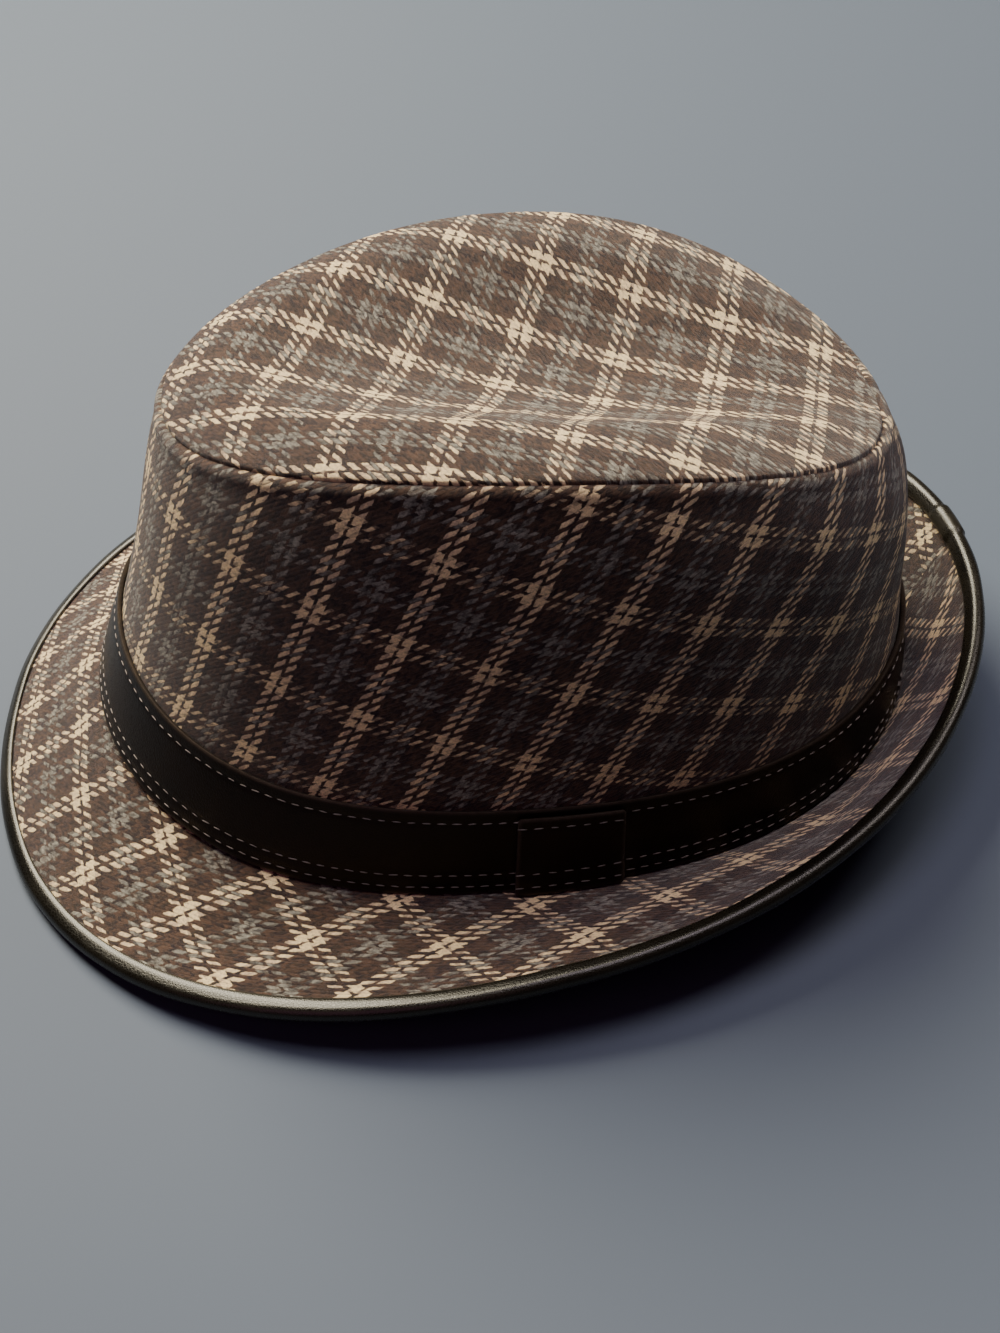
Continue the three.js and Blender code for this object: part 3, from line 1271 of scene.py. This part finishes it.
@dataclass
class CrownTip:
    """The dished top of the crown."""

    form: HatForm
    lay: CheckLay = CheckLay(
        centre=(9.65, 3.03),
        across=(1.434, 0.665, 1.929, -0.021, -0.073, 0.013),
        along=(2.12, 2.116, -0.87, 0.151, -0.022, 0.05),
        crossed=True,
    )
    rows: int = 56
    seam_zone: float = 0.8
    seam_depth: float = 1.2
    lip: float = 0.2
    stitches: float = 150.0
    swell: float = 0.22

    def build(self) -> bpy.types.Object:
        """Builds the tip.

        Returns:
            The new object.
        """
        form = self.form
        t = ring_angles()[:, None]
        middle = np.array([0.0, form.seam.shift, 0.0])
        radius = np.linalg.norm(form.seam.at(t[:, 0]) - middle, axis=-1)[:, None]
        near = np.array(NEAR_SEAM)
        even = np.linspace(0.02, 1, self.rows)[None, :] * (1 - SEAM_STEPS / radius)
        reach = np.concatenate([even, 1 - near / radius], axis=1)
        upper = form.tip_point(t, reach)
        normal = form.tip_normal(t, reach)
        from_seam = (1 - reach) * radius
        groove = self.seam_depth * np.clip(1 - from_seam / self.seam_zone, 0, 1) ** 1.8
        wave = np.sin(np.radians(t) * self.stitches + 1.0)
        pucker = 1 + 0.25 * wave * np.clip(1 - from_seam / 6, 0, 1)
        sway = self.swell * soft_swell(t, reach, 8) * eased(from_seam / 14) * eased(reach / 0.5)
        lip = self.lip * np.exp(-(((from_seam - 1.9) / 1.2) ** 2))
        upper = upper + normal * (sway + lip - groove * pucker)[..., None]
        edge = form.seam_point(t[:, 0]) - form.seam_normal(t[:, 0]) * (self.seam_depth + 0.35)
        into = unit(form.tip_point(t[:, 0], np.full(len(t), 0.98)) - form.seam_point(t[:, 0]))
        turned = [edge + into * form.gap / 2]
        turned.append(edge - form.seam_normal(t[:, 0]) * 0.9 + into * form.gap / 2)
        rest = np.linspace(0.84, 0.03, 20) + 0 * radius
        back = np.concatenate([1 - np.array([4.5, 9.0]) / radius, rest], axis=1)
        lower = form.tip_point(t, back) - form.tip_normal(t, back) * form.crown_cloth
        rings = np.concatenate([upper, np.stack(turned, 1), lower], axis=1)
        spans = np.concatenate([reach, np.ones((len(t), 2)), back], axis=1)
        top = form.tip_point(np.array([0.0]), np.array([0.0]))
        bottom = top - np.array([0, 0, form.crown_cloth])
        poles = form.settle(np.concatenate([top, bottom]))
        origin = self.lay.place(np.array([0j, 0j]))
        skin = Skin("crown_tip_cloth")
        skin.dish(form.settle(rings), self._check(t[:, 0], spans), poles, origin)
        return skin.finish()

    def _check(self, t: Array, reach: Array) -> Array:
        """Check coordinates of points of the tip.

        Args:
            t: Angles in degrees.
            reach: Share of the way out for each angle and point.

        Returns:
            Pairs in checks.
        """
        fine = np.linspace(0, 1, 41)[None, :]
        arc = arc_lengths(self.form.tip_point(t[:, None], fine))
        offset = self.form.seam.at(t) - np.array([0.0, self.form.seam.shift, 0.0])
        heading = (offset[:, 0] + 1j * offset[:, 1]) / np.linalg.norm(offset, axis=-1)
        along = np.stack([np.interp(reach[k], fine[0], arc[k]) for k in range(len(t))])
        return self.lay.place(along * heading[:, None])


@dataclass
class Brim:
    """The cloth of the brim, whose lip lies under the crown wall."""

    form: HatForm
    lay: CheckLay = CheckLay(
        centre=(87.6, -31.8),
        across=(3.388, 2.282, -0.520, 0.020, -0.115, 0.310),
        along=(2.914, -0.447, -2.174, -0.357, 0.189, -0.125),
        mirrored=True,
    )
    binding_leather: float = 0.85
    rows: int = 30
    swell: float = 0.3

    def build(self) -> bpy.types.Object:
        """Builds the brim.

        Returns:
            The new object.
        """
        form = self.form
        t = ring_angles()
        lines = form.brim_lines(t)
        wide = BrimLines(*(getattr(lines, size.name)[:, None] for size in fields(lines)))
        half = form.brim_cloth / 2
        core = self.binding_leather + form.gap + half
        lip = lines.root - lines.flat * form.crown_cloth
        share = np.linspace(0, 1, self.rows)[None, :]
        width = (lines.width - core)[:, None]
        reach = share * width
        fade = eased(share / 0.3) * eased((1 - share) / 0.3)
        sway = self.swell * soft_swell(t[:, None], share, 12) * fade
        upper = wide.at(reach, sway)
        arc = np.radians(np.linspace(60, -60, 5))
        rim = [
            lines.at(lines.width - core + half * math.cos(a), np.full(len(t), half * math.sin(a) - half))
            for a in arc
        ]
        back = share[:, ::-1]
        lower = wide.at(back * width, sway[:, ::-1] - form.brim_cloth)
        bend = lines.turn / 2
        straight = np.zeros_like(lines.flat)
        straight[:, 2] = 1.0
        fold = straight * np.cos(bend)[:, None] - lines.flat * np.sin(bend)[:, None]
        lower[:, -1] = lines.root - fold * (form.brim_cloth / np.cos(bend))[:, None]
        foot = lip - straight * form.brim_cloth
        parts = [lip[:, None], upper, np.stack(rim, 1), lower, foot[:, None]]
        grid = np.concatenate(parts, axis=1)
        inside = 0 * width - 2
        over = width + np.arange(1, 6)[None, :] * 0.3
        spans = np.concatenate([inside, reach, over, back * width, inside, inside], axis=1)
        skin = Skin("brim_cloth")
        skin.tube(form.settle(grid), self._check(t, spans))
        return skin.finish()

    def _check(self, t: Array, reach: Array) -> Array:
        """Check coordinates of points of the brim.

        Args:
            t: Angles in degrees.
            reach: Distance along the brim for each angle and point, in mm.

        Returns:
            Pairs in checks.
        """
        lines = self.form.brim_lines(t)
        edge = lines.at(lines.width, np.zeros_like(lines.width))
        place, cross = unroll(lines.root, edge, len(t) // 2)
        return self.lay.place(place[:, None] + reach * np.exp(1j * cross)[:, None])


@dataclass
class BrimBinding:
    """Leather folded over the edge of the brim, its ends lapped at the back."""

    form: HatForm
    leather: float = 0.85
    width: float = 4.7
    joint: float = 183.0
    joint_half: float = 3.2
    joint_step: float = 0.5
    columns: int = 720

    def build(self) -> bpy.types.Object:
        """Builds the binding.

        Returns:
            The new object.
        """
        form = self.form
        t = np.linspace(-180.0, 180.0, self.columns + 1)
        lines = form.brim_lines(t)
        half = form.brim_cloth / 2
        inner = half + form.gap
        turn = np.abs((t - self.joint + 180) % 360 - 180)
        lap = self.joint_step * eased((self.joint_half - turn) / 0.25 + 0.5)
        creases = 0.05 * np.sin(np.radians(t) * 17) + 0.04 * np.sin(np.radians(t) * 29 + 2)
        outer = inner + self.leather + lap + creases
        centre = lines.width - inner - self.leather
        reach = lines.width - self.width
        zero = np.zeros_like(t)

        columns: list[Array] = []
        worn: list[Array] = []

        def put(d: Array, h: Array, edge: float) -> None:
            """Adds a point of the section, out along the brim and up from its middle."""
            columns.append(lines.at(zero + d, zero + h - half))
            worn.append(zero + edge)

        # The third value of each point is its nearness to an edge, which the leather lightens as wear and
        # as a painted highlight.
        put(reach, zero + inner + 0.05, 0.6)
        put(reach - 0.12, zero + inner + 0.25, 0.9)
        put(reach - 0.05, (inner + outer) / 2 + 0.1, 0.9)
        put(reach + 0.25, outer - 0.12, 0.5)
        for k in (0.25, 0.5, 0.75):
            crown = 0.12 * math.sin(math.pi * k)
            put(reach + 0.25 + (centre - reach - 0.25) * k, outer + crown, 0.05)
        for a in np.radians(np.linspace(90, -90, 15)):
            put(centre + outer * math.cos(a), outer * math.sin(a), 0.25 * math.cos(a) ** 2)
        for k in (0.75, 0.5, 0.25):
            put(reach + (centre - reach) * k, -outer, 0.05)
        put(reach + 0.2, -outer + 0.1, 0.5)
        put(reach, -(inner + outer) / 2, 0.8)
        put(reach + 0.1, zero - inner, 0.4)
        for a in np.radians(np.linspace(-90, 90, 7)):
            put(centre + inner * math.cos(a), inner * math.sin(a), 0.0)
        grid = np.stack(columns, 1)
        skin = Skin("brim_binding_leather")
        skin.tube(form.settle(grid), strip_check(t, grid.shape[1]), np.stack(worn, 1))
        return skin.finish()


@dataclass(frozen=True)
class Strap:
    """Section of a leather strap on the crown wall, with rounded edges and sunk stitch lines."""

    near: float
    far: float
    edge: float = 0.55
    sink: float = 0.16
    groove: float = 0.55
    skirt: float = 5.0
    lines_up: tuple[float, ...] = ()
    lines_down: tuple[float, ...] = ()
    crown: float = 0.15
    rows: int = 34

    def section(self, foot: Array, head: Array, flare: Array) -> tuple[Array, Array, Array]:
        """Heights, distances from the wall and nearness to an edge.

        Args:
            foot: Height of the lower edge at each angle, in mm.
            head: Height of the upper edge.
            flare: How much further out the lower edge stands.

        Returns:
            Three arrays (angles, section).
        """
        size = head - foot
        share = 0.5 - 0.5 * np.cos(np.linspace(0.12, math.pi - 0.12, self.rows))
        share = (share + np.linspace(0.0, 1.0, self.rows)) / 2
        up = foot[:, None] + share[None, :] * size[:, None]
        from_foot = up - foot[:, None]
        from_head = head[:, None] - up
        rim = np.minimum(np.minimum(from_foot, from_head) / self.edge, 1)
        face = self.far - self.edge * 0.6 * (1 - np.sqrt(1 - (1 - rim) ** 2))
        face = face + self.crown * np.sin(np.pi * share)[None, :]
        for line in self.lines_up:
            face = face - self.sink * np.exp(-(((from_foot - line) / self.groove) ** 2))
        for line in self.lines_down:
            face = face - self.sink * np.exp(-(((from_head - line) / self.groove) ** 2))
        face = face + flare[:, None] * np.clip(1 - from_foot / self.skirt, 0, 1)
        # Nearness to the strap's edges, which the leather lightens as wear and as a painted edge highlight.
        worn = np.exp(-((np.minimum(from_foot, from_head) / 0.5) ** 2))
        back = np.linspace(0.97, 0.03, 8)
        inner_up = foot[:, None] + back[None, :] * size[:, None]
        inner_from_foot = inner_up - foot[:, None]
        inner = self.near + flare[:, None] * np.clip(1 - inner_from_foot / self.skirt, 0, 1)
        heights = np.concatenate([up, inner_up], axis=1)
        away = np.concatenate([face, inner], axis=1)
        edge = np.concatenate([worn, np.zeros_like(inner)], axis=1)
        return heights, away, edge


@dataclass(frozen=True)
class StitchKind:
    """Sizes of one row of stitches, in metres."""

    pitch: float = 0.0034
    length: float = 0.0022
    thickness: float = 0.0003
    seed: int = 3


class StitchTree:
    """Geometry Nodes tree that lays stitches along a guide line."""

    def __init__(self) -> None:
        """Builds the tree with its named inputs."""
        self.tree = bpy.data.node_groups.new("stitch_row", "GeometryNodeTree")
        face = self.tree.interface
        face.new_socket("Geometry", in_out="OUTPUT", socket_type="NodeSocketGeometry")
        face.new_socket("Guide", in_out="INPUT", socket_type="NodeSocketGeometry")
        self.keys: dict[str, str] = {}
        for name, kind in (
            ("Pitch", "NodeSocketFloat"),
            ("Stitch Length", "NodeSocketFloat"),
            ("Thread Thickness", "NodeSocketFloat"),
            ("Seed", "NodeSocketInt"),
            ("Thread", "NodeSocketMaterial"),
        ):
            socket = face.new_socket(name, in_out="INPUT", socket_type=kind)
            self.keys[name] = socket.identifier
        self._wire()

    def _node(
        self,
        kind: str,
        settings: dict[str, Any] | None = None,
        inputs: dict[Any, Any] | None = None,
    ) -> Any:
        """Adds a node.

        Args:
            kind: Type name of the node.
            settings: Properties of the node, set first.
            inputs: Values or links of its sockets, by name or number.

        Returns:
            The new node.
        """
        node = self.tree.nodes.new(kind)
        for key, value in (settings or {}).items():
            setattr(node, key, value)
        for key, value in (inputs or {}).items():
            if isinstance(value, bpy.types.NodeSocket):
                self.tree.links.new(value, node.inputs[key])
            else:
                node.inputs[key].default_value = value
        return node

    def _wire(self) -> None:
        """Adds the nodes and their links."""
        start = self._node("NodeGroupInput").outputs
        line = self._node("GeometryNodeMeshToCurve", None, {"Mesh": start["Guide"]})
        spaced = self._node(
            "GeometryNodeResampleCurve",
            {"mode": "LENGTH"},
            {"Curve": line.outputs[0], "Length": start["Pitch"]},
        )
        facing = self._node(
            "GeometryNodeInputNamedAttribute", {"data_type": "FLOAT_VECTOR"}, {"Name": "facing"}
        )
        tangent = self._node("GeometryNodeInputTangent")
        aim = self._node(
            "FunctionNodeAlignRotationToVector",
            {"axis": "X"},
            {"Vector": tangent.outputs[0]},
        )
        stand = self._node(
            "FunctionNodeAlignRotationToVector",
            {"axis": "Z", "pivot_axis": "X"},
            {"Rotation": aim.outputs[0], "Vector": facing.outputs[0]},
        )
        loose = self._node(
            "FunctionNodeRandomValue",
            {"data_type": "FLOAT_VECTOR"},
            {0: (-0.05, -0.03, -0.09), 1: (0.05, 0.03, 0.09), "Seed": start["Seed"]},
        )
        turned = self._node(
            "FunctionNodeRotateRotation",
            {"rotation_space": "LOCAL"},
            {"Rotation": stand.outputs[0], "Rotate By": loose.outputs[0]},
        )
        bead = self._node(
            "GeometryNodeMeshUVSphere", None, {"Segments": 8, "Rings": 6, "Radius": 0.5}
        )
        size = self._node(
            "ShaderNodeCombineXYZ",
            None,
            {0: start["Stitch Length"], 1: start["Thread Thickness"], 2: start["Thread Thickness"]},
        )
        even = self._node(
            "FunctionNodeRandomValue",
            {"data_type": "FLOAT_VECTOR"},
            {0: (0.82, 0.85, 0.8), 1: (1.12, 1.15, 1.1), "Seed": start["Seed"]},
        )
        fit = self._node(
            "ShaderNodeVectorMath", {"operation": "MULTIPLY"}, {0: size.outputs[0], 1: even.outputs[0]}
        )
        rows = self._node(
            "GeometryNodeInstanceOnPoints",
            None,
            {
                "Points": spaced.outputs[0],
                "Instance": bead.outputs[0],
                "Rotation": turned.outputs[0],
                "Scale": fit.outputs[0],
            },
        )
        real = self._node("GeometryNodeRealizeInstances", None, {0: rows.outputs[0]})
        smooth = self._node("GeometryNodeSetShadeSmooth", None, {0: real.outputs[0]})
        dressed = self._node(
            "GeometryNodeSetMaterial", None, {0: smooth.outputs[0], "Material": start["Thread"]}
        )
        self._node("NodeGroupOutput", None, {0: dressed.outputs[0]})

    def sew(
        self,
        name: str,
        lines: Sequence[tuple[Array, Array]],
        kind: StitchKind,
        thread: bpy.types.Material,
    ) -> bpy.types.Object:
        """Sews stitches along guide lines.

        Args:
            name: Name of the piece.
            lines: Points and outward directions of each line, in metres.
            kind: Sizes of the stitches.
            thread: Material of the thread.

        Returns:
            A plain mesh object of all the stitches.
        """
        points: list[list[float]] = []
        facing: list[Array] = []
        edges: list[tuple[int, int]] = []
        for path, out in lines:
            base = len(points)
            points.extend(path.tolist())
            facing.append(out)
            edges.extend((base + k, base + k + 1) for k in range(len(path) - 1))
        mesh = bpy.data.meshes.new(name + "_guide")
        mesh.from_pydata(points, edges, [])
        store = mesh.attributes.new("facing", "FLOAT_VECTOR", "POINT")
        store.data.foreach_set("vector", np.concatenate(facing).astype(np.float32).ravel())
        piece = bpy.data.objects.new(name, mesh)
        bpy.context.scene.collection.objects.link(piece)
        modifier = piece.modifiers.new("stitches", "NODES")
        modifier.node_group = self.tree
        for key, value in (
            ("Pitch", kind.pitch),
            ("Stitch Length", kind.length),
            ("Thread Thickness", kind.thickness),
            ("Seed", kind.seed),
            ("Thread", thread),
        ):
            modifier[self.keys[key]] = value
        evaluated = piece.evaluated_get(bpy.context.evaluated_depsgraph_get())
        made = bpy.data.meshes.new_from_object(evaluated)
        made.name = name
        piece.modifiers.clear()
        piece.data = made
        return piece


@dataclass
class HatBand:
    """The leather band round the foot of the crown, with its stitches."""

    form: HatForm
    leather: float = 1.3
    height: float = 22.2
    stitch_top: float = 3.0
    kind: StitchKind = field(default_factory=StitchKind)

    def build(self) -> bpy.types.Object:
        """Builds the strap.

        Returns:
            The new object.
        """
        form = self.form
        t = np.linspace(-180.0, 180.0, 2 * COLUMNS + 1)
        far = form.gap + self.leather
        strap = Strap(
            near=form.gap,
            far=far,
            lines_up=(STITCH_LOW, STITCH_HIGH),
            lines_down=(self.stitch_top,),
        )
        foot = form.foot_over(t, np.full_like(t, far))
        heights, away, edge = strap.section(foot, np.full_like(t, self.height), np.zeros_like(t))
        grid = form.strip_point(t[:, None], heights, away)
        skin = Skin("hat_band_leather")
        skin.tube(form.settle(grid), strip_check(t, grid.shape[1]), edge)
        return skin.finish()

    def sew(self, tree: StitchTree, thread: bpy.types.Material) -> bpy.types.Object:
        """Sews the three rows of the band.

        Args:
            tree: The stitch tree.
            thread: Material of the thread.

        Returns:
            The stitches as one object.
        """
        form = self.form
        t = np.linspace(-180.0, 180.0, 2 * COLUMNS + 1)
        far = form.gap + self.leather
        foot = form.foot_over(t, np.full_like(t, far))
        top = np.full_like(t, self.height - self.stitch_top)
        rows = [foot + STITCH_LOW, foot + STITCH_HIGH, top]
        lines = [form.stitch_line(t, up, far) for up in rows]
        return tree.sew("hat_band_stitches", lines, self.kind, thread)

@dataclass
class BandTab:
    """The lapped end of the band on the wearer's left."""

    form: HatForm
    start: float = 86.5
    end: float = 98.6
    short: float = 1.2
    flare: float = 1.0
    leather: float = 1.4
    band: float = 1.3
    height: float = 22.2
    stitch_top: float = 2.4
    kind: StitchKind = field(default_factory=lambda: StitchKind(seed=11))

    def build(self) -> bpy.types.Object:
        """Builds the lapped end.

        Returns:
            The new object.
        """
        form = self.form
        t = np.linspace(self.start, self.end, 49)
        near = 2 * form.gap + self.band
        far = near + self.leather
        strap = Strap(
            near=near,
            far=far,
            lines_up=(STITCH_LOW, STITCH_HIGH),
            lines_down=(self.stitch_top,),
            crown=0.1,
        )
        foot = form.foot_over(t, np.full_like(t, far + self.flare))
        round_end = np.clip(np.minimum(t - self.start, self.end - t) / 0.5, 0, 1)
        soft = (1 - np.sqrt(1 - (1 - round_end) ** 2)) * 0.8
        head = self.height - self.short - soft
        heights, away, edge = strap.section(foot + soft, head, np.full_like(t, self.flare))
        away = away - (soft * 0.5)[:, None] * (away > near + 0.5)
        edge = np.maximum(edge, (1 - round_end)[:, None] * 0.8)
        grid = form.strip_point(t[:, None], heights, away)
        skin = Skin("band_tab_leather")
        skin.tube(form.settle(grid), strip_check(t, grid.shape[1]), edge, ring=False)
        return skin.finish()

    def sew(self, tree: StitchTree, thread: bpy.types.Material) -> bpy.types.Object:
        """Sews the rows of the lapped end.

        Args:
            tree: The stitch tree.
            thread: Material of the thread.

        Returns:
            The stitches as one object.
        """
        form = self.form
        t = np.linspace(self.start + 0.4, self.end - 0.9, 60)
        far = 2 * form.gap + self.band + self.leather
        foot = form.foot_over(t, np.full_like(t, far + self.flare))
        lines = []
        for up in (STITCH_LOW, STITCH_HIGH):
            out = far + self.flare * max(0.0, 1 - up / 5)
            lines.append(form.stitch_line(t, foot + up, out))
        top = self.height - self.short - self.stitch_top
        lines.append(form.stitch_line(t, np.full_like(t, top), far))
        return tree.sew("band_tab_stitches", lines, self.kind, thread)


@dataclass(frozen=True)
class Lamp:
    """One soft area light."""

    name: str
    place: tuple[float, float, float]
    aim: tuple[float, float, float]
    size: float
    power: float
    tint: tuple[float, float, float] = (1.0, 1.0, 1.0)

    def make(self) -> None:
        """Adds the light to the scene."""
        data = bpy.data.lights.new(self.name, "AREA")
        data.shape = "DISK"
        data.size = self.size
        data.energy = self.power
        data.color = self.tint
        lamp = bpy.data.objects.new(self.name, data)
        lamp.location = self.place
        way = Vector(self.aim) - Vector(self.place)
        lamp.rotation_mode = "QUATERNION"
        lamp.rotation_quaternion = way.to_track_quat("-Z", "Y")
        bpy.context.scene.collection.objects.link(lamp)


@dataclass
class Studio:
    """Camera, floor and lights."""

    place: tuple[float, float, float] = (0.394238, -0.02238, 0.318804)
    ahead: tuple[float, float, float] = (-0.78288, 0.052562, -0.619949)
    right: tuple[float, float, float] = (0.116115, 0.991262, -0.062589)
    focal: float = 51.443
    air: tuple[float, float, float] = (0.8, 0.52, 0.8)
    air_strength: float = 0.015
    floor_half: float = 6.0
    floor_drop: float = 0.0002
    lamps: tuple[Lamp, ...] = (
        Lamp("key", (-1.0, -0.46, 1.2), (0.0, 0.0, 0.06), 1.15, 80.0, (1.0, 0.92, 0.76)),
        Lamp("overhead", (-0.05, 0.15, 1.5), (0.0, 0.0, 0.06), 0.7, 8.0, (0.95, 0.84, 1.0)),
        Lamp("warm side", (-0.3, 0.85, 1.25), (0.0, 0.0, 0.05), 0.6, 7.0, (1.0, 0.9, 0.9)),
        Lamp("fill", (1.0, -0.9, 1.0), (0.0, 0.0, 0.05), 1.2, 1.8, (1.0, 0.42, 0.8)),
    )

    def build(self) -> None:
        """Adds camera, floor, lights and air."""
        data = bpy.data.cameras.new("camera")
        data.lens = self.focal
        data.sensor_width = 36.0
        data.clip_start = 0.01
        camera = bpy.data.objects.new("camera", data)
        ahead = Vector(self.ahead).normalized()
        side = Vector(self.right)
        side = (side - ahead * side.dot(ahead)).normalized()
        up = side.cross(ahead)
        turn = Matrix((side, up, -ahead)).transposed().to_4x4()
        camera.matrix_world = Matrix.Translation(Vector(self.place)) @ turn
        bpy.context.scene.collection.objects.link(camera)
        bpy.context.scene.camera = camera
        for lamp in self.lamps:
            lamp.make()
        self._floor()
        world = bpy.data.worlds.new("air")
        world.use_nodes = True
        sky = world.node_tree.nodes["Background"]
        sky.inputs[0].default_value = (*self.air, 1.0)
        sky.inputs[1].default_value = self.air_strength
        bpy.context.scene.world = world

    def _floor(self) -> None:
        """Adds the floor, which isn't part of the hat."""
        half = self.floor_half
        low = -self.floor_drop
        mesh = bpy.data.meshes.new("floor")
        corners = [(-half, -half, low), (half, -half, low), (half, half, low), (-half, half, low)]
        mesh.from_pydata(corners, [], [(0, 1, 2, 3)])
        floor = bpy.data.objects.new("floor", mesh)
        floor.data.materials.append(PlainFloor().make("plain_floor"))
        bpy.context.scene.collection.objects.link(floor)


def report(piece: bpy.types.Object) -> None:
    """Logs a piece and its size."""
    logger.info("%s: %d faces", piece.name, len(piece.data.polygons))


def main() -> None:
    """Builds the hat's pieces in order, then the studio."""
    logging.basicConfig(level=logging.INFO, format="%(name)s %(message)s")
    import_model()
    form = HatForm()
    finishes = Finishes.make()
    tree = StitchTree()
    for maker, slot, finish, node in (
        (CrownSide(form), Slot.WOOL, finishes.wall_wool, "crown_side"),
        (CrownTip(form), Slot.WOOL, finishes.wool, "crown_tip"),
        (Brim(form), Slot.WOOL, finishes.wool, "brim"),
        (BrimBinding(form), Slot.LEATHER, finishes.binding, "brim_binding"),
    ):
        report(settle_piece(maker.build(), slot, finish, node))
    for strap, node in ((HatBand(form), "hat_band"), (BandTab(form), "band_tab")):
        report(settle_piece(strap.build(), Slot.LEATHER, finishes.band, node))
        report(settle_piece(strap.sew(tree, finishes.thread), Slot.LEATHER, finishes.thread))
    Studio().build()
    bpy.context.view_layer.update()


if __name__ == "__main__":
    main()
